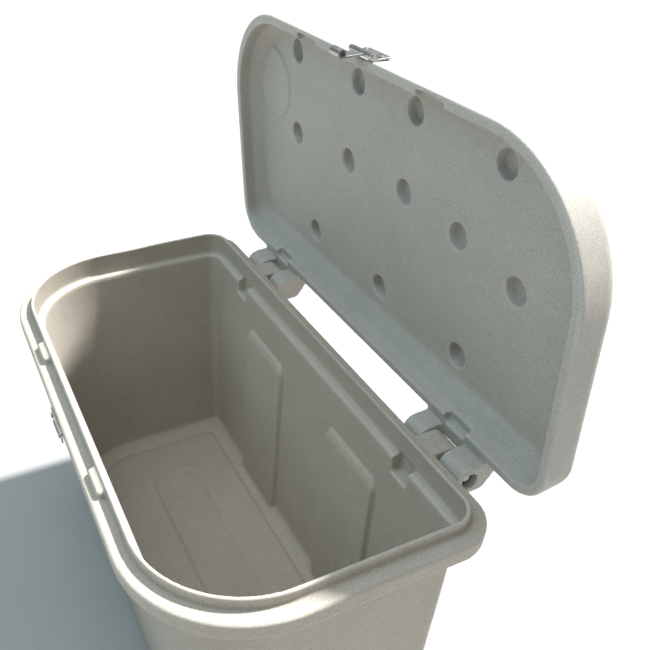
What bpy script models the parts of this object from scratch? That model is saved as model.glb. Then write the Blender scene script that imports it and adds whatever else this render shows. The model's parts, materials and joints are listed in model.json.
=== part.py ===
"""Lidded rotomoulded utility tub, modelled as separate solids.

Metres, +Z up, standing on Z = 0.  X runs along the hinge line, +Y is the hinge
side, -Y is the front with the large corner radii.  The lid stands open.
"""
import math

import bmesh
import bpy
from mathutils import Matrix, Vector

# ---------------------------------------------------------------- dimensions
W, D = 1.000, 0.4908          # flange outline
RF, RR = 0.1928, 0.0654       # corner radii, front and rear
ZF = 0.490                    # top of the flange above the ground
WALL = 0.006
AY, AZ = 0.273, ZF - 0.022    # lid hinge axis
OPEN = 87.7                   # lid opened by this many degrees at rest
LID_Z = ZF + 0.001            # underside of the closed lid
HASP_Y, HASP_Z = -0.2530, ZF + 0.004
HINGE_X = 0.305               # centre of each tub ear
EYE_DY, EYE_DZ = -0.0055, -0.040


# ------------------------------------------------------------------- helpers
def clear_scene():
    for ob in list(bpy.data.objects):
        bpy.data.objects.remove(ob, do_unlink=True)
    for coll in list(bpy.data.collections):
        bpy.data.collections.remove(coll)


def new_collection(name):
    coll = bpy.data.collections.new(name)
    bpy.context.scene.collection.children.link(coll)
    return coll


def material(name, colour, rough, metal=0.0):
    mat = bpy.data.materials.new(name)
    mat.use_nodes = True
    bsdf = mat.node_tree.nodes["Principled BSDF"]
    bsdf.inputs["Base Color"].default_value = (*colour, 1.0)
    bsdf.inputs["Roughness"].default_value = rough
    bsdf.inputs["Metallic"].default_value = metal
    mat.diffuse_color = (*colour, 1.0)
    return mat


def outline(off, rear=0.0, n_front=14, n_rear=6):
    """Rounded D outline, inset by off, and by rear more on the hinge side."""
    x1 = W / 2 - off
    yf, yr = -D / 2 + off, D / 2 - off - rear
    rf, rr = max(RF - off, 0.020), max(RR - off, 0.016)
    pts = []

    def arc(cx, cy, r, a0, n):
        for k in range(n + 1):
            a = math.radians(a0 + 90.0 * k / n)
            pts.append((cx + r * math.cos(a), cy + r * math.sin(a)))
    arc(x1 - rr, yr - rr, rr, 0, n_rear)
    arc(-x1 + rr, yr - rr, rr, 90, n_rear)
    arc(-x1 + rf, yf + rf, rf, 180, n_front)
    arc(x1 - rf, yf + rf, rf, 270, n_front)
    return pts


def extruded(name, pts, depth, coll):
    """Flat closed outline in XY, extruded by depth along Z, from a 2D curve."""
    cu = bpy.data.curves.new(name, "CURVE")
    cu.dimensions = "2D"
    cu.fill_mode = "BOTH"
    cu.extrude = depth / 2
    sp = cu.splines.new("POLY")
    sp.points.add(len(pts) - 1)
    for p, (x, y) in zip(sp.points, pts):
        p.co = (x, y, 0.0, 1.0)
    sp.use_cyclic_u = True
    tmp = bpy.data.objects.new(name, cu)
    coll.objects.link(tmp)
    bpy.context.view_layer.update()
    me = bpy.data.meshes.new_from_object(tmp)
    bpy.data.objects.remove(tmp, do_unlink=True)
    bpy.data.curves.remove(cu)
    bm = bmesh.new()
    bm.from_mesh(me)
    bmesh.ops.remove_doubles(bm, verts=bm.verts, dist=1e-6)
    bmesh.ops.recalc_face_normals(bm, faces=bm.faces)
    bm.to_mesh(me)
    bm.free()
    me.name = name
    ob = bpy.data.objects.new(name, me)
    coll.objects.link(ob)
    return ob


def slab(name, z0, z1, off0, off1, coll, rear0=0.0, rear1=0.0):
    """Drafted slab: outline inset off0 at z0 and off1 at z1."""
    lo, hi = outline(off0, rear0), outline(off1, rear1)
    ob = extruded(name, lo, z1 - z0, coll)
    zc = (z0 + z1) / 2
    for v in ob.data.vertices:
        if v.co.z > 0:
            i = min(range(len(lo)), key=lambda k: (lo[k][0] - v.co.x) ** 2 + (lo[k][1] - v.co.y) ** 2)
            v.co.x, v.co.y = hi[i]
        v.co.z += zc
    return ob


def box(name, x, y, z, coll, bevel=0.0):
    bpy.ops.mesh.primitive_cube_add(size=1.0)
    ob = bpy.context.object
    ob.name = ob.data.name = name
    for c in list(ob.users_collection):
        c.objects.unlink(ob)
    coll.objects.link(ob)
    for v in ob.data.vertices:
        v.co = Vector((x[0] if v.co.x < 0 else x[1],
                       y[0] if v.co.y < 0 else y[1],
                       z[0] if v.co.z < 0 else z[1]))
    if bevel:
        m = ob.modifiers.new("bevel", "BEVEL")
        m.width = bevel
        m.segments = 2
    return ob


def rod(name, x0, x1, y, z, r, coll, n=24):
    """Cylinder along X."""
    bpy.ops.mesh.primitive_cylinder_add(vertices=n, radius=r, depth=x1 - x0)
    ob = bpy.context.object
    ob.name = ob.data.name = name
    for c in list(ob.users_collection):
        c.objects.unlink(ob)
    coll.objects.link(ob)
    ob.data.transform(Matrix.Translation(((x0 + x1) / 2, y, z))
                      @ Matrix.Rotation(math.pi / 2, 4, "Y"))
    return ob


def post(name, x, z, y0, y1, r, coll, n=20):
    """Cylinder along Y."""
    bpy.ops.mesh.primitive_cylinder_add(vertices=n, radius=r, depth=abs(y1 - y0))
    ob = bpy.context.object
    ob.name = ob.data.name = name
    for c in list(ob.users_collection):
        c.objects.unlink(ob)
    coll.objects.link(ob)
    ob.data.transform(Matrix.Translation((x, (y0 + y1) / 2, z))
                      @ Matrix.Rotation(math.pi / 2, 4, "X"))
    return ob


def cone_z(name, x, y, z0, z1, r0, r1, coll, n=24):
    """Cone frustum along Z, radius r0 at z0 and r1 at z1."""
    bpy.ops.mesh.primitive_cone_add(vertices=n, radius1=r0, radius2=r1, depth=z1 - z0)
    ob = bpy.context.object
    ob.name = ob.data.name = name
    for c in list(ob.users_collection):
        c.objects.unlink(ob)
    coll.objects.link(ob)
    ob.data.transform(Matrix.Translation((x, y, (z0 + z1) / 2)))
    return ob


def profile_x(name, yz, x0, x1, coll):
    """Closed YZ profile extruded along X from x0 to x1."""
    ob = extruded(name, yz, x1 - x0, coll)
    # local (x, y, z) -> world (z, x, y)
    rot = Matrix(((0, 0, 1, (x0 + x1) / 2), (1, 0, 0, 0), (0, 1, 0, 0), (0, 0, 0, 1)))
    ob.data.transform(rot)
    return ob


def boolean(ob, other, op):
    m = ob.modifiers.new(op.lower() + "_" + other.name, "BOOLEAN")
    m.object = other
    m.operation = op
    m.solver = "EXACT"
    other.hide_render = True
    other.display_type = "WIRE"
    for c in list(other.users_collection):
        c.objects.unlink(other)
    CUT.objects.link(other)
    return ob


def cut(ob, *others):
    for o in others:
        boolean(ob, o, "DIFFERENCE")
    return ob


def add(ob, *others):
    for o in others:
        boolean(ob, o, "UNION")
    return ob


def mirrored(make):
    """Run make(sign, tag) for the right and the left side."""
    return [make(1.0, "r"), make(-1.0, "l")]


def xr(s, a, b):
    return (a, b) if s > 0 else (-b, -a)


def arc_pts(cy, cz, r, a0, a1, n):
    return [(cy + r * math.cos(math.radians(a0 + (a1 - a0) * k / n)),
             cz + r * math.sin(math.radians(a0 + (a1 - a0) * k / n))) for k in range(n + 1)]


def centre_on(ob, pos, parent=None):
    """Move the mesh so that the object's origin is at pos."""
    ob.data.transform(Matrix.Translation(-Vector(pos)))
    ob.location = pos


clear_scene()
PART = new_collection("lidded_utility_tub")
CUT = new_collection("cutters")

M_TUB = material("tub_polyethylene", (0.52, 0.50, 0.46), 0.55)
M_LID = material("lid_polyethylene", (0.54, 0.52, 0.49), 0.55)
M_PIN = material("pin_steel", (0.45, 0.45, 0.45), 0.35, 1.0)
M_CLIP = material("clip_spring_steel", (0.10, 0.10, 0.10), 0.45, 1.0)
M_HASP = material("hasp_stainless", (0.50, 0.50, 0.50), 0.35, 1.0)
M_SCREW = material("screw_stainless", (0.58, 0.58, 0.57), 0.30, 1.0)
M_PLUG = material("vent_plug_rubber", (0.03, 0.03, 0.03), 0.7)

PIN_R = 0.006
X_IN = (0.236, 0.278)         # inner lid knuckle
X_EAR = (0.280, 0.330)        # tub ear
X_OUT = (0.332, 0.384)        # outer lid knuckle


# ----------------------------------------------------------------------- tub
def wall_y(z):
    """Inner face of the rear wall at height z."""
    return D / 2 - 0.0432 - 0.0574 * (ZF - 0.026 - z)


def build_tub():
    tub = slab("tub", ZF - 0.028, ZF, 0.0015, 0.0, PART)
    cut(tub, slab("flange_under", ZF - 0.040, ZF - WALL, 0.0075, 0.006, CUT))
    add(tub, slab("coaming_block", ZF - 0.032, ZF + 0.0166, 0.0241, 0.0243, CUT))
    add(tub, slab("coaming_top", ZF + 0.0150, ZF + 0.0186, 0.0249, 0.0262, CUT))
    add(tub, slab("body_block", 0.010, ZF - 0.0305, 0.0628, 0.0372, CUT))
    add(tub, slab("base_block", 0.0, 0.0125, 0.0740, 0.0610, CUT))

    def ear(s, t):
        yz = ([(0.2065, ZF - 0.084), (0.2440, ZF - 0.058)]
              + arc_pts(AY, AZ, 0.0216, -90, 90, 14)
              + [(0.2340, ZF - 0.0004), (0.2250, ZF - 0.0034), (0.2065, ZF - 0.0312)])
        return profile_x("ear_" + t, yz, *xr(s, *X_EAR), CUT)
    add(tub, *mirrored(ear))

    def bulge(s, t):
        return box("bulge_" + t, xr(s, 0.149, 0.207), (-D / 2 + 0.0115, -D / 2 + 0.028),
                   (ZF - 0.003, ZF + 0.0125), CUT, 0.004)
    add(tub, *mirrored(bulge))

    # the open inside
    cut(tub, slab("mouth", ZF - 0.026, ZF + 0.040, 0.0305, 0.0303, CUT))
    cut(tub, slab("inside", 0.0220, ZF - 0.0255, 0.0687, 0.0432, CUT))
    cut(tub, slab("floor_cove", 0.0100, 0.0225, 0.0960, 0.0686, CUT))
    cut(tub, box("floor_panel", (-0.296, 0.296), (-0.048, 0.062), (0.0062, 0.0150), CUT))

    def pocket(s, t):
        return box("pocket_" + t, xr(s, 0.2830, 0.3270), (0.1960, 0.2205),
                   (ZF - 0.056, ZF - 0.020), CUT)
    cut(tub, *mirrored(pocket))

    def pilaster(s, t):
        ya, yb = wall_y(0.020), wall_y(ZF - 0.118)
        yz = [(ya + 0.004, 0.0095), (ya - 0.009, 0.0095),
              (yb - 0.009, ZF - 0.118), (wall_y(ZF - 0.098) + 0.002, ZF - 0.098),
              (wall_y(ZF - 0.098) + 0.004, ZF - 0.098)]
        return profile_x("pilaster_" + t, yz, *xr(s, 0.092, 0.256), CUT)
    add(tub, *mirrored(pilaster))

    def outside_flute(s, t):
        ya, yb = wall_y(0.030) + WALL, wall_y(ZF - 0.128) + WALL
        yz = [(ya - 0.0085, 0.030), (ya + 0.02, 0.030), (yb + 0.02, ZF - 0.112),
              (yb + 0.001, ZF - 0.112), (yb - 0.0085, ZF - 0.128)]
        return profile_x("flute_" + t, yz, *xr(s, 0.098, 0.250), CUT)
    cut(tub, *mirrored(outside_flute))

    def ear_bore(s, t):
        return rod("ear_bore_" + t, *xr(s, X_EAR[0] - 0.01, X_EAR[1] + 0.01), AY, AZ, 0.0066, CUT)
    cut(tub, *mirrored(ear_bore))

    def keeper_hole(s, t):
        return post("keeper_hole_" + t, s * 0.0270, ZF - 0.0150, -D / 2 - 0.01, -D / 2 + 0.012, 0.0029, CUT)
    cut(tub, *mirrored(keeper_hole))
    tub.data.materials.append(M_TUB)
    return tub


# ----------------------------------------------------------------------- lid
DIMPLES = [(-0.302, 0.427), (-0.083, 0.427), (0.083, 0.427), (0.292, 0.420),
           (-0.310, 0.270), (-0.111, 0.283), (0.064, 0.292), (0.209, 0.280), (0.342, 0.258),
           (-0.237, 0.092), (0.005, 0.089), (0.237, 0.085)]
VENTS = (-0.262, 0.090)


def build_lid():
    z = LID_Z
    lid = slab("lid", z, z + 0.050, 0.0, 0.003, PART)
    add(lid, slab("lid_shoulder", z + 0.0498, z + 0.057, 0.003, 0.013, CUT))
    add(lid, slab("lid_crown", z + 0.0568, z + 0.070, 0.020, 0.070, CUT))

    def knuckle(s, t, xs, tag):
        yz = (arc_pts(AY, AZ, 0.0235, -180, 0, 14)
              + [(AY + 0.0235, ZF - 0.004), (0.2600, z + 0.030), (0.2360, z + 0.030),
                 (0.2360, z + 0.0005), (AY - 0.0235, z + 0.0005)])
        return profile_x("knuckle_" + tag + t, yz, *xr(s, *xs), CUT)
    add(lid, *mirrored(lambda s, t: knuckle(s, t, X_IN, "in_")))
    add(lid, *mirrored(lambda s, t: knuckle(s, t, X_OUT, "out_")))

    def hood(s, t):
        yz = [(0.2380, z + 0.0012), (0.2712, z + 0.0012), (0.2712, z + 0.0120), (0.2592, z + 0.0290), (0.2380, z + 0.0290)]
        return profile_x("hood_" + t, yz, *xr(s, 0.2760, 0.3340), CUT)
    add(lid, *mirrored(hood))

    # space between the two walls, around the cones that join them
    gap = slab("gap", z + 0.0045, z + 0.0513, 0.0050, 0.0082, CUT)
    add(gap, slab("gap_top", z + 0.0491, z + 0.0655, 0.0250, 0.0760, CUT))
    cut(gap, slab("gap_inner", z - 0.010, z + 0.0240, 0.0120, 0.0150, CUT),
        slab("gap_inner_top", z + 0.0237, z + 0.0505, 0.0148, 0.0352, CUT, 0.0, 0.0115))
    for i, (x, v) in enumerate(DIMPLES):
        cut(gap, cone_z("gap_cone_%d" % i, x, D / 2 - v, z + 0.040, z + 0.072, 0.0245, 0.0160, CUT))

    def gap_notch(s, t):
        return box("gap_notch_" + t, xr(s, 0.2735, 0.3365), (0.185, 0.262), (z - 0.01, z + 0.0185), CUT)
    cut(gap, *mirrored(gap_notch))

    def gap_knuckle(s, t):
        return box("gap_knuckle_" + t, xr(s, 0.228, 0.392), (0.236, 0.262), (z - 0.01, z + 0.0580), CUT)
    cut(gap, *mirrored(gap_knuckle))

    def gap_bulge(s, t):
        return box("gap_bulge_" + t, xr(s, 0.1405, 0.2155), (-0.262, -D / 2 + 0.031), (z - 0.01, z + 0.0196), CUT)
    cut(gap, *mirrored(gap_bulge))
    cut(lid, gap)

    cut(lid, slab("recess", z - 0.010, z + 0.0215, 0.0165, 0.0195, CUT),
        slab("recess_top", z + 0.0212, z + 0.0460, 0.0194, 0.0400, CUT, 0.0, 0.0120))
    for i, (x, v) in enumerate(DIMPLES):
        cut(lid, cone_z("dimple_%d" % i, x, D / 2 - v, z + 0.038, z + 0.0630, 0.0212, 0.0125, CUT))

    # clearances: behind the tub's ears, around its ears, and over the front bulges
    def ear_notch(s, t):
        return box("ear_notch_" + t, xr(s, 0.2785, 0.3315), (0.200, 0.2440), (z - 0.01, z + 0.0140), CUT)
    cut(lid, *mirrored(ear_notch))

    def bulge_notch(s, t):
        return box("bulge_notch_" + t, xr(s, 0.145, 0.211), (-D / 2 + 0.0075, -D / 2 + 0.030),
                   (z - 0.01, z + 0.0150), CUT)
    cut(lid, *mirrored(bulge_notch))

    def bore(s, t):
        return rod("bore_" + t, *xr(s, 0.2430, 0.380), AY, AZ, 0.0063, CUT)
    cut(lid, *mirrored(bore))

    def cbore(s, t, x0, x1, tag):
        return rod("cbore_" + tag + t, *xr(s, x0, x1), AY, AZ, 0.0135, CUT)
    cut(lid, *mirrored(lambda s, t: cbore(s, t, 0.372, 0.390, "out_")))

    for i, x in enumerate(VENTS):
        cut(lid, post("vent_%d" % i, x, z + 0.0335, -D / 2 + 0.012, -D / 2 + 0.045, 0.0048, CUT))
    for i, s in enumerate((-1, 1)):
        cut(lid, post("hasp_hole_%d" % i, s * 0.0220, z + 0.0220, -D / 2 - 0.01, -D / 2 + 0.012, 0.0026, CUT))
    lid.data.materials.append(M_LID)
    return lid


# -------------------------------------------------------------- hinge pieces
def build_pin(s, name):
    pin = rod(name, *xr(s, 0.2440, 0.3760), AY, AZ, PIN_R, PART)
    pin.data.materials.append(M_PIN)
    m = pin.modifiers.new("bevel", "BEVEL")
    m.width = 0.0008
    m.segments = 2
    m.limit_method = "ANGLE"
    return pin


def build_clip(s, x0, x1, name):
    clip = rod(name, *xr(s, x0, x1), AY, AZ, 0.0118, PART, 28)
    cut(clip, rod(name + "_hole", *xr(s, x0 - 0.01, x1 + 0.01), AY, AZ, 0.0063, CUT))
    clip.data.materials.append(M_CLIP)
    return clip


# --------------------------------------------------------------- hasp pieces
YL = -D / 2                                   # front face of flange and lid


def build_hasp_base():
    z = LID_Z
    base = box("hasp_base", (-0.0310, 0.0310), (YL - 0.0030, YL - 0.0003), (z + 0.0090, z + 0.0350), PART, 0.0006)
    for i, (a, b) in enumerate(((-0.0310, -0.0165), (0.0165, 0.0310))):
        add(base, box("base_leg_%d" % i, (a, b), (YL - 0.0030, YL - 0.0003), (HASP_Z + 0.001, z + 0.0120), CUT))
        add(base, rod("base_knuckle_%d" % i, a, b, HASP_Y, HASP_Z, 0.0050, CUT))
        add(base, box("base_web_%d" % i, (a, b), (HASP_Y - 0.001, YL - 0.0003), (HASP_Z + 0.0030, HASP_Z + 0.0048), CUT))
    cut(base, rod("base_bore", -0.04, 0.04, HASP_Y, HASP_Z, 0.0024, CUT))
    for i, s in enumerate((-1, 1)):
        cut(base, post("base_hole_%d" % i, s * 0.0220, z + 0.0220, YL - 0.02, YL + 0.01, 0.0027, CUT))
    base.data.materials.append(M_HASP)
    return base


def build_hasp_strap():
    strap = box("hasp_strap", (-0.0130, 0.0130), (HASP_Y - 0.0014, HASP_Y + 0.0014),
                (HASP_Z - 0.0400, HASP_Z - 0.0030), PART, 0.0005)
    add(strap, rod("strap_knuckle", -0.0158, 0.0158, HASP_Y, HASP_Z, 0.0050, CUT))
    add(strap, rod("strap_eye", -0.0130, 0.0130, HASP_Y + EYE_DY, HASP_Z + EYE_DZ, 0.0070, CUT))
    cut(strap, rod("strap_bore", -0.04, 0.04, HASP_Y, HASP_Z, 0.0025, CUT))
    cut(strap, rod("strap_eye_hole", -0.04, 0.04, HASP_Y + EYE_DY, HASP_Z + EYE_DZ, 0.0046, CUT))
    strap.data.materials.append(M_HASP)
    return strap


def build_keeper():
    keeper = box("keeper", (-0.0350, 0.0350), (YL - 0.0030, YL - 0.0003), (ZF - 0.0262, ZF - 0.0040), PART, 0.0006)
    add(keeper, rod("keeper_ridge", -0.0180, 0.0180, YL - 0.0026, ZF - 0.0200, 0.0030, CUT))
    for i, s in enumerate((-1, 1)):
        cut(keeper, post("keeper_plate_hole_%d" % i, s * 0.0270, ZF - 0.0150, YL - 0.02, YL + 0.01, 0.0029, CUT))
    keeper.data.materials.append(M_HASP)
    return keeper


def build_screw(name, x, z, y_face, length, r):
    """Pan-head screw whose head sits on the plane y_face and points along +Y."""
    head = post(name, x, z, y_face - 0.0024, y_face, r * 1.85, PART, 24)
    m = head.modifiers.new("bevel", "BEVEL")
    m.width = 0.0008
    m.segments = 2
    m.limit_method = "ANGLE"
    add(head, post(name + "_shank", x, z, y_face - 0.0005, y_face + length, r, CUT, 16))
    cut(head, box(name + "_slot_a", (x - 0.0022, x + 0.0022), (y_face - 0.01, y_face - 0.0014), (z - 0.0005, z + 0.0005), CUT))
    cut(head, box(name + "_slot_b", (x - 0.0005, x + 0.0005), (y_face - 0.01, y_face - 0.0014), (z - 0.0022, z + 0.0022), CUT))
    head.data.materials.append(M_SCREW)
    return head


def build_nut(name, x, z, y0):
    nut = post(name, x, z, y0, y0 + 0.0040, 0.0056, PART, 6)
    cut(nut, post(name + "_thread", x, z, y0 - 0.01, y0 + 0.02, 0.0028, CUT, 16))
    nut.data.materials.append(M_SCREW)
    return nut


def build_plug(name, x):
    """Push-in core plug in the slope of the lid's front recess wall, along Y."""
    z = LID_Z + 0.0335
    y_wall = -D / 2 + 0.0295
    plug = post(name, x, z, y_wall - 0.0100, y_wall + 0.0010, 0.0044, PART, 20)
    plug.data.materials.append(M_PLUG)
    return plug


tub = build_tub()
keeper = build_keeper()
for s, side in ((-1, "left"), (1, "right")):
    build_screw("keeper_screw_" + side, s * 0.0270, ZF - 0.0150, YL - 0.0033, 0.0150, 0.0025)
    build_nut("keeper_nut_" + side, s * 0.0270, ZF - 0.0150, YL + 0.0075)

moving = [build_lid(), build_hasp_base()]
for s, side in ((-1, "left"), (1, "right")):
    moving.append(build_screw("hasp_screw_" + side, s * 0.0220, LID_Z + 0.0220, YL - 0.0033, 0.0120, 0.0023))
    moving.append(build_pin(s, "hinge_pin_" + side))
    moving.append(build_clip(s, 0.3724, 0.3740, "pin_clip_" + side))
for x, side in zip(VENTS, ("left", "right")):
    moving.append(build_plug("vent_plug_" + side, x))
hasp_pin = rod("hasp_pin", -0.0325, 0.0325, HASP_Y, HASP_Z, 0.0020, PART, 16)
hasp_pin.data.materials.append(M_PIN)
moving.append(hasp_pin)
strap = build_hasp_strap()

# The lid and all it carries hang from one empty on the hinge axis.  Cutters
# ride with the solids that they cut.
hinge = bpy.data.objects.new("lid_hinge_axis", None)
PART.objects.link(hinge)
hinge.location = (0.0, AY, AZ)
hasp_axis = bpy.data.objects.new("hasp_strap_axis", None)
PART.objects.link(hasp_axis)
hasp_axis.parent = hinge
hasp_axis.location = (0.0, HASP_Y - AY, HASP_Z - AZ)


def hang(ob, parent, pos, done):
    if ob.name in done:
        return
    done.add(ob.name)
    ob.data.transform(Matrix.Translation(-Vector(pos)))
    ob.parent = parent
    for m in ob.modifiers:
        if m.type == "BOOLEAN":
            hang(m.object, parent, pos, done)


seen = set()
for ob in moving:
    hang(ob, hinge, (0.0, AY, AZ), seen)
hang(strap, hasp_axis, (0.0, HASP_Y, HASP_Z), seen)
hinge.rotation_euler = (-math.radians(OPEN), 0.0, 0.0)
bpy.context.view_layer.update()
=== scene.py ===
"""Looks for the lidded utility tub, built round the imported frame."""

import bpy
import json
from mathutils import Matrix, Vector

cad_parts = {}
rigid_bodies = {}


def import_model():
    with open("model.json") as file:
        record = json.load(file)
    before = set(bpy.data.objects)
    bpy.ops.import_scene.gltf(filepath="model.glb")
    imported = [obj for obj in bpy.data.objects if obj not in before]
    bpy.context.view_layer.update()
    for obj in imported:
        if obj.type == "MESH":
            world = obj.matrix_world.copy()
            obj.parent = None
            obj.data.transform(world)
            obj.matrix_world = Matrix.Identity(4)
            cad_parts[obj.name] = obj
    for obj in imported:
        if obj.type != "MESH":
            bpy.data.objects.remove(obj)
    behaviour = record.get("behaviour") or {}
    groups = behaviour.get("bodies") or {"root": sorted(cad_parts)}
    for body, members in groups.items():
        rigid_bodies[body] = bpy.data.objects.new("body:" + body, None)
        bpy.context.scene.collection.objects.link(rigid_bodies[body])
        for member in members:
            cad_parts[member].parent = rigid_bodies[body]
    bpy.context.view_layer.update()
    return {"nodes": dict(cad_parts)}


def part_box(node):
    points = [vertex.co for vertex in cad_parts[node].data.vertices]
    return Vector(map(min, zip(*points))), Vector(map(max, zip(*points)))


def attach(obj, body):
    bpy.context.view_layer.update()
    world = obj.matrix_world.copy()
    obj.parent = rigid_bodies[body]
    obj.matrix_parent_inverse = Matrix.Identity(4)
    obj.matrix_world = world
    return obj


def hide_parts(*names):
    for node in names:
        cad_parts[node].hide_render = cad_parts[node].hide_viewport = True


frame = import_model()

import json
import math

import bmesh
import bpy
from mathutils import Matrix, Vector

# ------------------------------------------------------------ numbers, metres
W, D = 1.000, 0.4908
RF, RR = 0.1928, 0.0654
TUB_LO, TUB_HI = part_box("tub")
ZF = 0.490
WALL = 0.006
AY, AZ = 0.273, ZF - 0.022
OPEN = 87.7
LID_Z = ZF + 0.001
HASP_Y, HASP_Z = -0.2530, ZF + 0.004
X_IN = (0.236, 0.278)
X_EAR = (0.280, 0.330)
X_OUT = (0.332, 0.384)
scene = bpy.context.scene

WORK = bpy.data.collections.new("work")
scene.collection.children.link(WORK)


# ------------------------------------------------------------------- camera
def make_camera():
    az, el, roll = math.radians(63.356), math.radians(34.109), math.radians(0.708)
    back = Vector((math.sin(az) * math.cos(el), -math.cos(az) * math.cos(el), math.sin(el)))
    right = Vector((0, 0, 1)).cross(back).normalized()
    up = back.cross(right)
    cx = right * math.cos(roll) + up * math.sin(roll)
    cy = -right * math.sin(roll) + up * math.cos(roll)
    cam = bpy.data.objects.new("camera", bpy.data.cameras.new("camera"))
    scene.collection.objects.link(cam)
    cam.matrix_world = Matrix(((cx.x, cy.x, back.x, 1.0224), (cx.y, cy.y, back.y, -0.3412),
                               (cx.z, cy.z, back.z, ZF + 0.7948), (0, 0, 0, 1)))
    cam.data.sensor_width = 36.0
    cam.data.lens = 784.39 / 650.0 * 36.0
    cam.data.shift_x = (325.0 - 293.68) / 650.0
    cam.data.shift_y = (343.10 - 325.0) / 650.0
    cam.data.clip_start, cam.data.clip_end = 0.05, 200.0
    scene.camera = cam


make_camera()


# -------------------------------------------------------------- mesh helpers
def outline(off, rear=0.0, n_front=44, n_rear=16):
    """Rounded D outline, inset by off, and by rear more on the hinge side."""
    x1 = W / 2 - off
    yf, yr = -D / 2 + off, D / 2 - off - rear
    rf, rr = max(RF - off, 0.020), max(RR - off, 0.016)
    pts = []

    def arc(cx, cy, r, a0, n):
        for k in range(n + 1):
            a = math.radians(a0 + 90.0 * k / n)
            pts.append((cx + r * math.cos(a), cy + r * math.sin(a)))
    arc(x1 - rr, yr - rr, rr, 0, n_rear)
    arc(-x1 + rr, yr - rr, rr, 90, n_rear)
    arc(-x1 + rf, yf + rf, rf, 180, n_front)
    arc(x1 - rf, yf + rf, rf, 270, n_front)
    return pts


def to_object(name, bm):
    bmesh.ops.recalc_face_normals(bm, faces=bm.faces)
    me = bpy.data.meshes.new(name)
    bm.to_mesh(me)
    bm.free()
    ob = bpy.data.objects.new(name, me)
    WORK.objects.link(ob)
    return ob


def loft(name, levels, cap=True):
    """Closed body through rings of equal point count, [(z, [(x, y), ...]), ...]."""
    bm = bmesh.new()
    rings = [[bm.verts.new((x, y, z)) for x, y in ring] for z, ring in levels]
    n = len(rings[0])
    for a, b in zip(rings, rings[1:]):
        for i in range(n):
            j = (i + 1) % n
            bm.faces.new((a[i], a[j], b[j], b[i]))
    bm.faces.new(list(reversed(rings[0])))
    bm.faces.new(rings[-1])
    return to_object(name, bm)


def slab(name, *stops, rear=None):
    """Body through D outlines: stops are (z, off) or (z, off, rear)."""
    return loft(name, [(s[0], outline(s[1], s[2] if len(s) > 2 else 0.0)) for s in stops])


def box(name, x, y, z):
    bm = bmesh.new()
    bmesh.ops.create_cube(bm, size=1.0)
    for v in bm.verts:
        v.co = Vector((x[0] if v.co.x < 0 else x[1], y[0] if v.co.y < 0 else y[1], z[0] if v.co.z < 0 else z[1]))
    return to_object(name, bm)


def rounded_plan(x, y, r, n=10):
    """Rounded rectangle outline in XY."""
    pts = []
    for cx, cy, a0 in ((x[1] - r, y[1] - r, 0), (x[0] + r, y[1] - r, 90), (x[0] + r, y[0] + r, 180), (x[1] - r, y[0] + r, 270)):
        for k in range(n + 1):
            a = math.radians(a0 + 90.0 * k / n)
            pts.append((cx + r * math.cos(a), cy + r * math.sin(a)))
    return pts


def along_x(name, yz, x0, x1):
    ob = loft(name, [(x0, yz), (x1, yz)])
    # built with (y, z) in XY and x in Z
    ob.data.transform(Matrix(((0, 0, 1, 0), (1, 0, 0, 0), (0, 1, 0, 0), (0, 0, 0, 1))))
    return ob


def circle(cx, cy, r, n=48):
    return [(cx + r * math.cos(2 * math.pi * k / n), cy + r * math.sin(2 * math.pi * k / n)) for k in range(n)]


def cone_z(name, x, y, stops, n=48):
    return loft(name, [(z, circle(x, y, r, n)) for z, r in stops])


def rod_x(name, x0, x1, y, z, r):
    return along_x(name, circle(y, z, r), x0, x1)


def arc_pts(cy, cz, r, a0, a1, n):
    return [(cy + r * math.cos(math.radians(a0 + (a1 - a0) * k / n)),
             cz + r * math.sin(math.radians(a0 + (a1 - a0) * k / n))) for k in range(n + 1)]


def xr(s, a, b):
    return (a, b) if s > 0 else (-b, -a)


def combine(ob, others, op):
    for o in others:
        m = ob.modifiers.new("b", "BOOLEAN")
        m.object, m.operation, m.solver = o, op, "EXACT"
    return ob


def evaluated_mesh(ob):
    dg = bpy.context.evaluated_depsgraph_get()
    dg.update()
    return bpy.data.meshes.new_from_object(ob.evaluated_get(dg))


def soften(name, ob, voxel, rounds, faces, post=()):
    """One skin with rounded edges from a sharp-edged body, as a moulding has."""
    me = evaluated_mesh(ob)
    tmp = bpy.data.objects.new(name + "_raw", me)
    WORK.objects.link(tmp)
    m = tmp.modifiers.new("remesh", "REMESH")
    m.mode, m.voxel_size, m.adaptivity = "VOXEL", voxel, 0.0
    m = tmp.modifiers.new("smooth", "SMOOTH")
    m.factor, m.iterations = 0.5, rounds
    bpy.context.view_layer.update()
    me2 = evaluated_mesh(tmp)
    ob2 = bpy.data.objects.new(name, me2)
    WORK.objects.link(ob2)
    tris = sum(len(p.vertices) - 2 for p in me2.polygons)
    if tris > faces:
        m = ob2.modifiers.new("thin", "DECIMATE")
        m.ratio = faces / tris
        bpy.context.view_layer.update()
        me3 = evaluated_mesh(ob2)
        ob2.modifiers.clear()
        ob2.data = me3
    print(name, "faces", tris, "->", len(ob2.data.polygons))
    WORK.objects.unlink(ob2)
    scene.collection.objects.link(ob2)
    for p in ob2.data.polygons:
        p.use_smooth = True
    return ob2


# ----------------------------------------------------------------------- tub
def wall_y(z):
    return D / 2 - 0.0432 - 0.0574 * (ZF - 0.026 - z)


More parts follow.
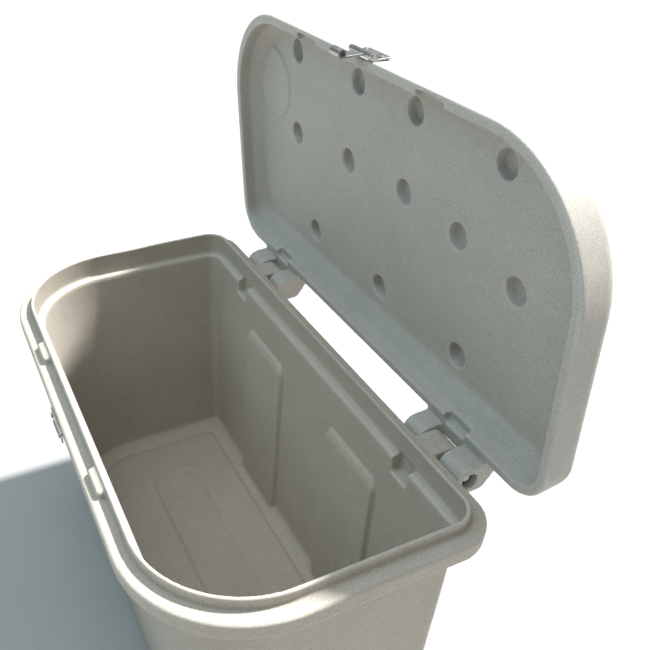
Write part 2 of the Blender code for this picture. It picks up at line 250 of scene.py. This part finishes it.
def build_tub():
    outer = slab("t_base", (0.0, 0.0740), (0.0035, 0.0668), (0.0125, 0.0622), (0.020, 0.0618),
                 (ZF - 0.0290, 0.0370))
    flange = slab("t_flange", (ZF - 0.028, 0.0015), (ZF - 0.004, 0.0002), (ZF - 0.0012, 0.0012), (ZF, 0.0045))
    under = slab("t_under", (ZF - 0.040, 0.0075), (ZF - WALL, 0.0060))
    combine(flange, [under], "DIFFERENCE")
    coaming = slab("t_coaming", (ZF - 0.032, 0.0241), (ZF + 0.0150, 0.0243), (ZF + 0.0176, 0.0252), (ZF + 0.0186, 0.0270))
    adds = [outer, coaming]

    for s, t in ((1, "r"), (-1, "l")):
        yz = ([(0.2065, ZF - 0.084), (0.2440, ZF - 0.058)]
              + arc_pts(AY, AZ, 0.0216, -90, 90, 28)
              + [(0.2340, ZF - 0.0004), (0.2250, ZF - 0.0034), (0.2065, ZF - 0.0312)])
        adds.append(along_x("t_ear" + t, yz, *xr(s, *X_EAR)))
        adds.append(loft("t_bulge" + t, [
            (ZF - 0.003, rounded_plan(xr(s, 0.149, 0.207), (-D / 2 + 0.0115, -D / 2 + 0.030), 0.006)),
            (ZF + 0.0105, rounded_plan(xr(s, 0.1495, 0.2065), (-D / 2 + 0.0118, -D / 2 + 0.030), 0.006)),
            (ZF + 0.0125, rounded_plan(xr(s, 0.152, 0.204), (-D / 2 + 0.0140, -D / 2 + 0.030), 0.006))]))

    cuts = [
        slab("t_mouth", (ZF - 0.026, 0.0305), (ZF + 0.040, 0.0303)),
        slab("t_inside", (0.0100, 0.0960), (0.0120, 0.0860), (0.0160, 0.0765), (0.0235, 0.0692), (0.0330, 0.0675),
             (ZF - 0.0330, 0.0440), (ZF - 0.0280, 0.0424), (ZF - 0.0255, 0.0404)),
        loft("t_panel", [(0.0056, rounded_plan((-0.294, 0.294), (-0.038, 0.060), 0.020)),
                         (0.0095, rounded_plan((-0.298, 0.298), (-0.042, 0.066), 0.022)),
                         (0.0150, rounded_plan((-0.304, 0.304), (-0.048, 0.074), 0.024))]),
    ]
    # crease where the foot of the walls meets the floor
    crease = slab("t_crease", (0.0068, 0.0960), (0.0120, 0.0935))
    inner = slab("t_crease_in", (0.0060, 0.1010), (0.0130, 0.1030))
    combine(crease, [inner], "DIFFERENCE")
    cuts.append(crease)
    post_adds, post_cuts = [], []
    for s, t in ((1, "r"), (-1, "l")):
        cuts.append(loft("t_pocket" + t, [
            (ZF - 0.056, rounded_plan(xr(s, 0.2850, 0.3250), (0.1960, 0.2190), 0.005)),
            (ZF - 0.020, rounded_plan(xr(s, 0.2826, 0.3274), (0.1960, 0.2210), 0.005))]))
        # raised wall panel with sloping sides, standing on a small foot
        zs = [0.0095, 0.020, 0.060, ZF - 0.135, ZF - 0.120, ZF - 0.108, ZF - 0.099]
        proud = [0.0105, 0.0098, 0.0092, 0.0090, 0.0084, 0.0052, -0.0010]
        bm = bmesh.new()
        rings = []
        for z, p in zip(zs, proud):
            y = wall_y(z)
            x0, x1 = xr(s, 0.092, 0.256)
            slope = 0.007
            top = min(1.0, max(0.0, (ZF - 0.098 - z) / 0.030))
            k = math.sqrt(max(0.0, 1 - (1 - top) ** 2)) if top < 1 else 1.0
            half = (x1 - x0) / 2 - (1 - k) * 0.020
            mid = (x0 + x1) / 2
            pts = [(mid + half, y + 0.004), (mid - half, y + 0.004), (mid - half, y + 0.0005),
                   (mid - half + slope * 0.5, y - p * 0.75), (mid - half + slope, y - p),
                   (mid + half - slope, y - p), (mid + half - slope * 0.5, y - p * 0.75), (mid + half, y + 0.0005)]
            rings.append([bm.verts.new((px, py, z)) for px, py in pts])
        n = len(rings[0])
        for a, b in zip(rings, rings[1:]):
            for i in range(n):
                j = (i + 1) % n
                bm.faces.new((a[i], a[j], b[j], b[i]))
        bm.faces.new(list(reversed(rings[0])))
        bm.faces.new(rings[-1])
        post_adds.append(to_object("t_pilaster" + t, bm))

        ya, yb = wall_y(0.030) + WALL, wall_y(ZF - 0.128) + WALL
        yz = [(ya - 0.0085, 0.030), (ya + 0.02, 0.030), (yb + 0.02, ZF - 0.112),
              (yb + 0.001, ZF - 0.112), (yb - 0.0085, ZF - 0.128)]
        post_cuts.append(along_x("t_flute" + t, yz, *xr(s, 0.098, 0.250)))
        post_cuts.append(rod_x("t_bore" + t, *xr(s, X_EAR[0] - 0.01, X_EAR[1] + 0.01), AY, AZ, 0.0068))
    combine(flange, adds, "UNION")
    combine(flange, cuts, "DIFFERENCE")
    combine(flange, post_adds, "UNION")
    combine(flange, post_cuts, "DIFFERENCE")
    bpy.context.view_layer.update()
    return soften("tub_skin", flange, 0.0025, 3, 190000)


# ----------------------------------------------------------------------- lid
DIMPLES = [(-0.302, 0.427), (-0.083, 0.427), (0.083, 0.427), (0.292, 0.420),
           (-0.310, 0.270), (-0.111, 0.283), (0.064, 0.292), (0.209, 0.280), (0.342, 0.258),
           (-0.237, 0.092), (0.005, 0.089), (0.237, 0.085)]
VENTS = (-0.262, 0.090)


def build_lid():
    z = LID_Z
    lid = slab("l_shell", (z, 0.0030), (z + 0.0010, 0.0010), (z + 0.0030, 0.0), (z + 0.044, 0.0026), (z + 0.050, 0.0044), (z + 0.0545, 0.0082),
               (z + 0.057, 0.0135), (z + 0.0582, 0.0215), (z + 0.0660, 0.0480), (z + 0.0690, 0.0610), (z + 0.070, 0.0750))
    adds = []
    for s, t in ((1, "r"), (-1, "l")):
        for xs, tag in ((X_IN, "i"), (X_OUT, "o")):
            yz = (arc_pts(AY, AZ, 0.0235, -180, 0, 28)
                  + [(AY + 0.0235, ZF - 0.004), (AY + 0.0215, ZF + 0.004), (0.2600, z + 0.030), (0.2360, z + 0.030),
                     (0.2360, z + 0.0005), (AY - 0.0235, z + 0.0005)])
            adds.append(along_x("l_knuckle" + tag + t, yz, *xr(s, *xs)))
        yz = [(0.2380, z + 0.0012), (0.2712, z + 0.0012), (0.2718, z + 0.0090), (0.2700, z + 0.0150), (0.2592, z + 0.0300), (0.2380, z + 0.0340)]
        adds.append(along_x("l_hood" + t, yz, *xr(s, 0.2760, 0.3340)))
    combine(lid, adds, "UNION")
    cuts = [slab("l_recess", (z - 0.010, 0.0152), (z + 0.0010, 0.0160), (z + 0.0195, 0.0190, 0.0002), (z + 0.0225, 0.0202, 0.0008),
                 (z + 0.0440, 0.0378, 0.0110), (z + 0.0455, 0.0398, 0.0122), (z + 0.0460, 0.0430, 0.0135))]
    for i, (x, v) in enumerate(DIMPLES):
        cuts.append(cone_z("l_dimple%d" % i, x, D / 2 - v,
                           [(z + 0.0380, 0.0222), (z + 0.0465, 0.0214), (z + 0.0590, 0.0185), (z + 0.0622, 0.0160), (z + 0.0632, 0.0110)]))
    for s, t in ((1, "r"), (-1, "l")):
        cuts.append(loft("l_notch" + t, [
            (z - 0.010, rounded_plan(xr(s, 0.2785, 0.3315), (0.200, 0.2440), 0.009)),
            (z + 0.0090, rounded_plan(xr(s, 0.2785, 0.3315), (0.200, 0.2440), 0.009)),
            (z + 0.0125, rounded_plan(xr(s, 0.2795, 0.3305), (0.202, 0.2425), 0.009)),
            (z + 0.0145, rounded_plan(xr(s, 0.2830, 0.3270), (0.206, 0.2390), 0.009))]))
        cuts.append(box("l_bulge" + t, xr(s, 0.145, 0.211), (-D / 2 + 0.0075, -D / 2 + 0.030), (z - 0.01, z + 0.0150)))
        cuts.append(rod_x("l_bore" + t, *xr(s, 0.2430, 0.395), AY, AZ, 0.0065))
        cuts.append(rod_x("l_cbo" + t, *xr(s, 0.372, 0.395), AY, AZ, 0.0138))
    combine(lid, cuts, "DIFFERENCE")
    # a low round boss near the far front corner of the inner panel
    boss = cone_z("l_boss", -0.405, D / 2 - 0.345, [(z + 0.0425, 0.0640), (z + 0.0432, 0.0664), (z + 0.0462, 0.0690), (z + 0.0500, 0.0690)], 96)
    combine(lid, [boss], "UNION")
    bpy.context.view_layer.update()
    ob = soften("lid_skin", lid, 0.0024, 3, 170000)
    turn = (Matrix.Translation((0, AY, AZ)) @ Matrix.Rotation(-math.radians(OPEN), 4, "X") @ Matrix.Translation((0, -AY, -AZ)))
    ob.data.transform(turn)
    return ob


# ----------------------------------------------------------------- materials
def nodes_of(name):
    mat = bpy.data.materials.new(name)
    mat.use_nodes = True
    nt = mat.node_tree
    bsdf = nt.nodes["Principled BSDF"]
    co = nt.nodes.new("ShaderNodeTexCoord").outputs["Object"]
    return mat, nt, bsdf, co


def noise(nt, co, scale, detail=2.0, rough=0.5, distort=0.0):
    n = nt.nodes.new("ShaderNodeTexNoise")
    n.inputs["Scale"].default_value = scale
    n.inputs["Detail"].default_value = detail
    n.inputs["Roughness"].default_value = rough
    n.inputs["Distortion"].default_value = distort
    nt.links.new(co, n.inputs["Vector"])
    return n.outputs["Fac"]


def ramp(nt, fac, *stops):
    r = nt.nodes.new("ShaderNodeValToRGB")
    el = r.color_ramp.elements
    while len(el) < len(stops):
        el.new(0.5)
    for e, (p, c) in zip(el, stops):
        e.position = p
        e.color = (c, c, c, 1) if isinstance(c, (int, float)) else (*c, 1)
    nt.links.new(fac, r.inputs["Fac"])
    return r.outputs["Color"]


def mix(nt, fac, a, b, blend="MIX"):
    m = nt.nodes.new("ShaderNodeMix")
    m.data_type, m.blend_type = "RGBA", blend
    for sock, v in ((m.inputs[0], fac), (m.inputs[6], a), (m.inputs[7], b)):
        if isinstance(v, bpy.types.NodeSocket):
            nt.links.new(v, sock)
        elif isinstance(v, (int, float)):
            sock.default_value = v
        else:
            sock.default_value = (*v, 1)
    return m.outputs[2]


def bump(nt, bsdf, heights):
    """Chain of bumps, [(height socket, strength, distance), ...]."""
    last = None
    for h, strength, dist in heights:
        b = nt.nodes.new("ShaderNodeBump")
        b.inputs["Strength"].default_value = strength
        b.inputs["Distance"].default_value = dist
        nt.links.new(h, b.inputs["Height"])
        if last is not None:
            nt.links.new(last, b.inputs["Normal"])
        last = b.outputs["Normal"]
    nt.links.new(last, bsdf.inputs["Normal"])


def speckled_plastic(name, base, light, dark, rough=0.52):
    """Rotomoulded polyethylene: fine granite speckle, faint mottling, matt grain."""
    mat, nt, bsdf, co = nodes_of(name)
    grain = noise(nt, co, 520.0, 3.0, 0.62)
    fine = noise(nt, co, 1300.0, 1.0, 0.5)
    cloud = noise(nt, co, 9.0, 3.0, 0.55)
    patch = noise(nt, co, 55.0, 3.0, 0.6)
    col = mix(nt, ramp(nt, cloud, (0.30, 0.0), (0.72, 1.0)), tuple(c * 0.94 for c in base), tuple(min(1, c * 1.05) for c in base))
    col = mix(nt, ramp(nt, patch, (0.40, 0.0), (0.75, 0.22)), col, light)
    col = mix(nt, ramp(nt, grain, (0.52, 0.0), (0.66, 0.75)), col, light)
    col = mix(nt, ramp(nt, grain, (0.30, 0.70), (0.44, 0.0)), col, dark)
    col = mix(nt, ramp(nt, fine, (0.56, 0.0), (0.70, 0.45)), col, dark)
    # edges rubbed a little paler as wear; concave creases darkened as painted shade
    geo = nt.nodes.new("ShaderNodeNewGeometry").outputs["Pointiness"]
    col = mix(nt, ramp(nt, geo, (0.505, 0.0), (0.56, 0.35)), col, tuple(min(1, c * 1.22) for c in light))
    # painted shade: creases (low pointiness) darkened towards the dark speckle colour
    col = mix(nt, ramp(nt, geo, (0.44, 0.45), (0.497, 0.0)), col, tuple(c * 0.80 for c in dark))
    nt.links.new(col, bsdf.inputs["Base Color"])
    r = nt.nodes.new("ShaderNodeMapRange")
    r.inputs["To Min"].default_value, r.inputs["To Max"].default_value = rough - 0.07, rough + 0.10
    nt.links.new(patch, r.inputs["Value"])
    nt.links.new(r.outputs["Result"], bsdf.inputs["Roughness"])
    bsdf.inputs["Specular IOR Level"].default_value = 0.42
    bump(nt, bsdf, [(cloud, 0.10, 0.010), (patch, 0.16, 0.0020), (grain, 0.30, 0.0007), (fine, 0.18, 0.0003)])
    return mat


def brushed(name, base, rough, axis=(1.0, 1.0, 30.0), stain=0.15):
    """Brushed or drawn metal with scratches and dull patches."""
    mat, nt, bsdf, co = nodes_of(name)
    mp = nt.nodes.new("ShaderNodeMapping")
    mp.inputs["Scale"].default_value = axis
    nt.links.new(co, mp.inputs["Vector"])
    streak = noise(nt, mp.outputs["Vector"], 220.0, 3.0, 0.6)
    patch = noise(nt, co, 120.0, 4.0, 0.6)
    col = mix(nt, ramp(nt, streak, (0.35, 0.0), (0.70, 1.0)), tuple(c * 0.78 for c in base), base)
    col = mix(nt, ramp(nt, patch, (0.45, 0.0), (0.75, stain)), col, (0.12, 0.09, 0.06))
    nt.links.new(col, bsdf.inputs["Base Color"])
    bsdf.inputs["Metallic"].default_value = 1.0
    r = nt.nodes.new("ShaderNodeMapRange")
    r.inputs["To Min"].default_value, r.inputs["To Max"].default_value = rough - 0.08, rough + 0.16
    nt.links.new(patch, r.inputs["Value"])
    nt.links.new(r.outputs["Result"], bsdf.inputs["Roughness"])
    bump(nt, bsdf, [(streak, 0.25, 0.0002), (patch, 0.15, 0.0002)])
    return mat


def rubber(name):
    mat, nt, bsdf, co = nodes_of(name)
    patch = noise(nt, co, 300.0, 3.0, 0.6)
    col = mix(nt, ramp(nt, patch, (0.35, 0.0), (0.70, 1.0)), (0.018, 0.018, 0.018), (0.045, 0.044, 0.042))
    nt.links.new(col, bsdf.inputs["Base Color"])
    bsdf.inputs["Roughness"].default_value = 0.78
    bump(nt, bsdf, [(patch, 0.4, 0.0004)])
    return mat


# one plastic in two tints over its own beige: the tub's browner base is painted warm bounce light, the lid's cooler
# base is painted sky light
M_TUB_BOUNCE_TINTED = speckled_plastic("tub_polyethylene", (0.430, 0.392, 0.338), (0.560, 0.525, 0.465), (0.225, 0.197, 0.160))
M_LID_SKY_TINTED = speckled_plastic("lid_polyethylene", (0.430, 0.408, 0.368), (0.560, 0.540, 0.495), (0.235, 0.215, 0.185))
M_STEEL = brushed("hasp_stainless", (0.56, 0.56, 0.55), 0.34, (1.0, 1.0, 26.0))
M_PIN = brushed("pin_steel", (0.50, 0.49, 0.47), 0.30, (0.2, 8.0, 8.0), 0.25)
M_CLIP = brushed("clip_spring_steel", (0.10, 0.10, 0.105), 0.42, (6.0, 1.0, 1.0), 0.4)
M_SCREW = brushed("screw_stainless", (0.60, 0.60, 0.59), 0.28, (8.0, 8.0, 1.0), 0.10)
M_PLUG = rubber("vent_plug_rubber")


def dress(node, mat, bevel=0.0):
    ob = frame["nodes"][node]
    ob.data.materials.clear()
    ob.data.materials.append(mat)
    if bevel:
        w = ob.modifiers.new("weld", "WELD")
        w.merge_threshold = 0.00002
        b = ob.modifiers.new("bevel", "BEVEL")
        b.width, b.segments, b.limit_method, b.angle_limit = bevel, 2, "ANGLE", math.radians(32)
        b.harden_normals = False


for node, mat, bevel in (
        ("hasp_base", M_STEEL, 0.0004), ("hasp_strap", M_STEEL, 0.0004), ("keeper", M_STEEL, 0.0004),
        ("hasp_pin", M_PIN, 0.0003), ("hinge_pin_left", M_PIN, 0.0), ("hinge_pin_right", M_PIN, 0.0),
        *[(n, M_CLIP, 0.0002) for n in frame["nodes"] if n.startswith("pin_clip")],
        ("hasp_screw_left", M_SCREW, 0.0), ("hasp_screw_right", M_SCREW, 0.0),
        ("keeper_screw_left", M_SCREW, 0.0), ("keeper_screw_right", M_SCREW, 0.0),
        ("keeper_nut_left", M_SCREW, 0.0003), ("keeper_nut_right", M_SCREW, 0.0003),
        ("vent_plug_left", M_PLUG, 0.0005), ("vent_plug_right", M_PLUG, 0.0005)):
    dress(node, mat, bevel)

tub = build_tub()
tub.data.materials.clear()
tub.data.materials.append(M_TUB_BOUNCE_TINTED)
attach(tub, "tub_body")
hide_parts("tub")

lid = build_lid()
lid.data.materials.clear()
lid.data.materials.append(M_LID_SKY_TINTED)
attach(lid, "lid_body")
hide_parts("lid")

for o in list(WORK.objects):
    bpy.data.objects.remove(o, do_unlink=True)
bpy.data.collections.remove(WORK)


# ------------------------------------------------------------ floor and light
def make_floor():
    bm = bmesh.new()
    bmesh.ops.create_grid(bm, x_segments=8, y_segments=8, size=12.0)
    me = bpy.data.meshes.new("floor")
    bm.to_mesh(me)
    bm.free()
    ob = bpy.data.objects.new("floor", me)
    scene.collection.objects.link(ob)
    mat, nt, bsdf, co = nodes_of("floor_paper")
    n = noise(nt, co, 3.0, 4.0, 0.6)
    nt.links.new(ramp(nt, n, (0.3, 0.375), (0.7, 0.395)), bsdf.inputs["Base Color"])
    bsdf.inputs["Roughness"].default_value = 0.9
    me.materials.append(mat)


def area(name, loc, target, size, power, colour):
    la = bpy.data.lights.new(name, "AREA")
    la.shape, la.size, la.size_y = "RECTANGLE", size[0], size[1]
    la.energy, la.color = power, colour
    ob = bpy.data.objects.new(name, la)
    ob.location = loc
    ob.rotation_euler = (Vector(target) - Vector(loc)).to_track_quat("-Z", "Y").to_euler()
    scene.collection.objects.link(ob)


make_floor()
sun = bpy.data.lights.new("key", "SUN")
sun.energy, sun.angle, sun.color = 8.6, math.radians(3.5), (1.0, 0.985, 0.96)
sun_ob = bpy.data.objects.new("key", sun)
E, P = math.radians(54), math.radians(6)
to_sun = Vector((-math.sin(P) * math.cos(E), math.cos(P) * math.cos(E), math.sin(E)))
sun_ob.rotation_euler = to_sun.to_track_quat("Z", "Y").to_euler()
scene.collection.objects.link(sun_ob)
area("fill", (-0.6, -2.6, 3.2), (0.0, 0.1, 0.7), (3.0, 2.2), 34.0, (0.42, 0.86, 1.0))
area("top", (0.2, -0.6, 4.2), (0.0, 0.0, 0.3), (2.6, 2.0), 24.0, (0.84, 0.95, 1.0))


def make_world():
    """Studio dome: bright and slightly cool overhead, dim at the sides."""
    world = bpy.data.worlds.new("studio")
    world.use_nodes = True
    nt = world.node_tree
    tc = nt.nodes.new("ShaderNodeTexCoord")
    sep = nt.nodes.new("ShaderNodeSeparateXYZ")
    nt.links.new(tc.outputs["Generated"], sep.inputs["Vector"])
    r = nt.nodes.new("ShaderNodeValToRGB")
    for e, (p, c) in zip([*r.color_ramp.elements, r.color_ramp.elements.new(0.5)], ((0.0, (0.06, 0.06, 0.06)), (1.0, (0.54, 0.74, 0.90)), (0.35, (0.10, 0.135, 0.155)))):
        e.position, e.color = p, (*c, 1)
    nt.links.new(sep.outputs["Z"], r.inputs["Fac"])
    bg = nt.nodes["Background"]
    nt.links.new(r.outputs["Color"], bg.inputs["Color"])
    bg.inputs["Strength"].default_value = 1.0
    scene.world = world


make_world()
scene.view_settings.view_transform = "Standard"
scene.view_settings.look = "None"
